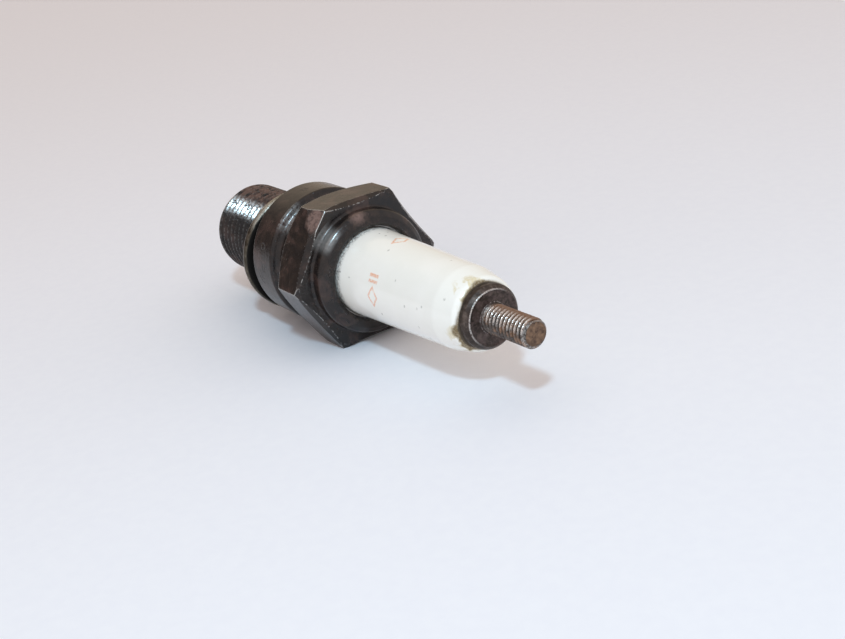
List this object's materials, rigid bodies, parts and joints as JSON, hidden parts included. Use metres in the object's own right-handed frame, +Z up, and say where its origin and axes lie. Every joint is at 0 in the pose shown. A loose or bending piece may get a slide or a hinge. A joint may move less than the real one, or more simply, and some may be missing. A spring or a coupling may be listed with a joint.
{
  "type": "spark plug",
  "caption": "Spark plug with a 14 mm thread, 19 mm reach, 20.8 mm hexagon, smooth tapered white insulator, bare M4 terminal stud and a loose folded gasket.",
  "frame": {"origin": "centre of the gasket seat, on the plug's axis, where the thread meets the flange", "axes": "+X along the plug's axis from the firing end to the terminal stud, +Z up out of the top flat of the hexagon as the plug lies on its side, +Y completes the right-handed frame"},
  "size_m": [0.0775, 0.024, 0.0208],
  "materials": {
    "shell_steel": "dark oxidised steel, oily, worn bright on edges",
    "electrode_alloy": "heat-greyed nickel alloy",
    "gasket_steel": "dull olive-grey plated sheet steel",
    "glazed_insulator": "glossy white glaze, stained at the ends",
    "copper": "bare copper",
    "seal_glass": "dull copper-filled glass",
    "resistor_mass": "matte black carbon and glass",
    "terminal_steel": "brownish steel, thread crests worn bright",
    "packing_steel": "plain steel",
    "talc": "pressed pale powder"
  },
  "bodies": {
    "plug": {"shell": "shell_steel", "side_electrode": "electrode_alloy", "insulator": "glazed_insulator", "centre_electrode": "electrode_alloy", "electrode_copper_core": "copper", "lower_glass_seal": "seal_glass", "resistor_element": "resistor_mass", "upper_glass_seal": "seal_glass", "terminal_stud": "terminal_steel", "inner_seat_washer": "packing_steel", "lower_packing_ring": "packing_steel", "talc_packing": "talc", "upper_packing_ring": "packing_steel"},
    "gasket": {"gasket": "gasket_steel"}
  },
  "joints": [
    {"name": "gasket_slide", "type": "slide", "parent": "plug", "child": "gasket", "axis": [1, 0, 0], "range_m": [-0.0136, 0]}
  ]
}
